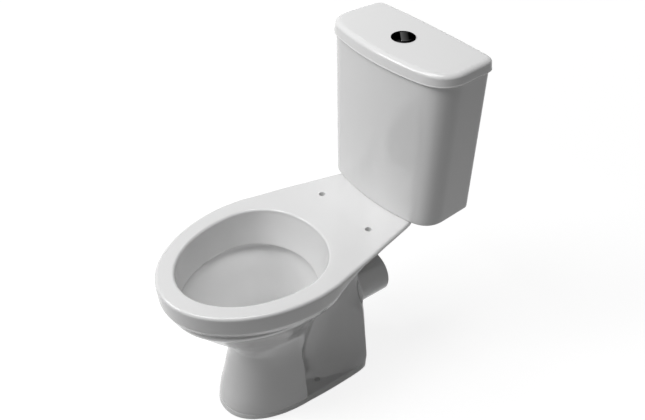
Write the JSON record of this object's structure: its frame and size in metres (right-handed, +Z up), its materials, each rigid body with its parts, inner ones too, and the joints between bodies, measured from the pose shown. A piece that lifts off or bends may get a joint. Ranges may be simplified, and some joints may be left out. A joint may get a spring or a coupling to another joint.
{
  "type": "close-coupled toilet",
  "caption": "White close-coupled toilet: open-rim bowl on a waisted pedestal, horizontal outlet, cistern with lift-off lid and two-part push button.",
  "frame": {"origin": "floor level under the middle of the whole toilet, halfway between the bowl's front and the lid's back", "axes": "+Z up, +Y from the bowl towards the wall, +X to the right when facing the wall"},
  "size_m": [0.353, 0.67, 0.7648],
  "materials": {
    "china": "glossy white glaze",
    "chrome": "polished",
    "white_plastic": "moulded",
    "grey_plastic": "moulded",
    "blue_plastic": "moulded",
    "red_plastic": "moulded",
    "rubber": "matt black",
    "steel": "satin",
    "brass": "dull"
  },
  "bodies": {
    "toilet": {"pan": "china", "cistern_body": "china", "flush_valve_base": "white_plastic", "flush_valve_washer": "rubber", "flush_valve_back_nut": "grey_plastic", "coupling_washer": "rubber", "flush_valve_cage": "white_plastic", "lever_pin": "steel", "fill_valve_body": "white_plastic", "fill_valve_washer": "rubber", "fill_valve_back_nut": "white_plastic", "fill_valve_cap": "red_plastic", "fill_drop_tube": "white_plastic", "coupling_bolt_left": "steel", "coupling_bolt_right": "steel", "bolt_rubber_washer_left": "rubber", "bolt_rubber_washer_right": "rubber", "bolt_plate_washer_left": "steel", "bolt_plate_washer_right": "steel", "deck_rubber_washer_left": "rubber", "deck_rubber_washer_right": "rubber", "wing_nut_left": "brass", "wing_nut_right": "brass"},
    "lid": {"cistern_lid": "china", "button_bezel": "chrome", "bezel_nut": "white_plastic", "full_button_spring": "steel", "half_button_spring": "steel"},
    "full_button": {"full_flush_button": "chrome", "full_flush_rod": "white_plastic"},
    "half_button": {"half_flush_button": "chrome", "half_flush_rod": "white_plastic"},
    "full_lever": {"full_flush_lever": "grey_plastic"},
    "half_lever": {"half_flush_lever": "grey_plastic"},
    "lifting_tube": {"lift_tube": "white_plastic", "lift_seal": "rubber", "lift_float": "blue_plastic", "lift_yoke": "red_plastic"},
    "vent_rod": {"half_vent_rod": "grey_plastic"},
    "fill_float": {"fill_float": "blue_plastic", "fill_float_rod": "steel"},
    "fill_arm": {"fill_float_arm": "white_plastic"}
  },
  "joints": [
    {"name": "lid_lift", "type": "slide", "parent": "toilet", "child": "lid", "axis": [0, 0, 1], "range_m": [0, 0.12]},
    {"name": "full_press", "type": "slide", "parent": "lid", "child": "full_button", "axis": [0, 0, -1], "range_m": [0, 0.005], "stiffness_N_per_m": 400, "springref_m": -0.006, "deforming": ["full_button_spring"]},
    {"name": "half_press", "type": "slide", "parent": "lid", "child": "half_button", "axis": [0, 0, -1], "range_m": [0, 0.005], "stiffness_N_per_m": 400, "springref_m": -0.006, "deforming": ["half_button_spring"]},
    {"name": "tube_lift", "type": "slide", "parent": "toilet", "child": "lifting_tube", "axis": [0, 0, 1], "range_m": [0, 0.0088]},
    {"name": "full_lever_turn", "type": "hinge", "parent": "toilet", "child": "full_lever", "pos_m": [0, 0.246, 0.6915], "axis": [-0.788, 0.6157, 0], "range_deg": [0, 23.6]},
    {"name": "half_lever_turn", "type": "hinge", "parent": "toilet", "child": "half_lever", "pos_m": [0, 0.246, 0.6915], "axis": [0.788, -0.6157, 0], "range_deg": [0, 23.6]},
    {"name": "vent_lift", "type": "slide", "parent": "toilet", "child": "vent_rod", "axis": [0, 0, 1], "range_m": [0, 0.0088]},
    {"name": "float_rise", "type": "slide", "parent": "toilet", "child": "fill_float", "axis": [0, 0, 1], "range_m": [0, 0.012]},
    {"name": "arm_turn", "type": "hinge", "parent": "toilet", "child": "fill_arm", "pos_m": [-0.1005, 0.227, 0.646], "axis": [1, 0, 0], "range_deg": [0, 22.5]}
  ],
  "couplings": [
    {"joint": "full_press", "follows": "tube_lift", "ratio": 0.568},
    {"joint": "full_lever_turn", "follows": "tube_lift", "rad_per_m": 46.6},
    {"joint": "half_lever_turn", "follows": "half_press", "rad_per_m": 82},
    {"joint": "vent_lift", "follows": "half_press", "ratio": 1.759},
    {"joint": "arm_turn", "follows": "float_rise", "rad_per_m": 32.6}
  ]
}
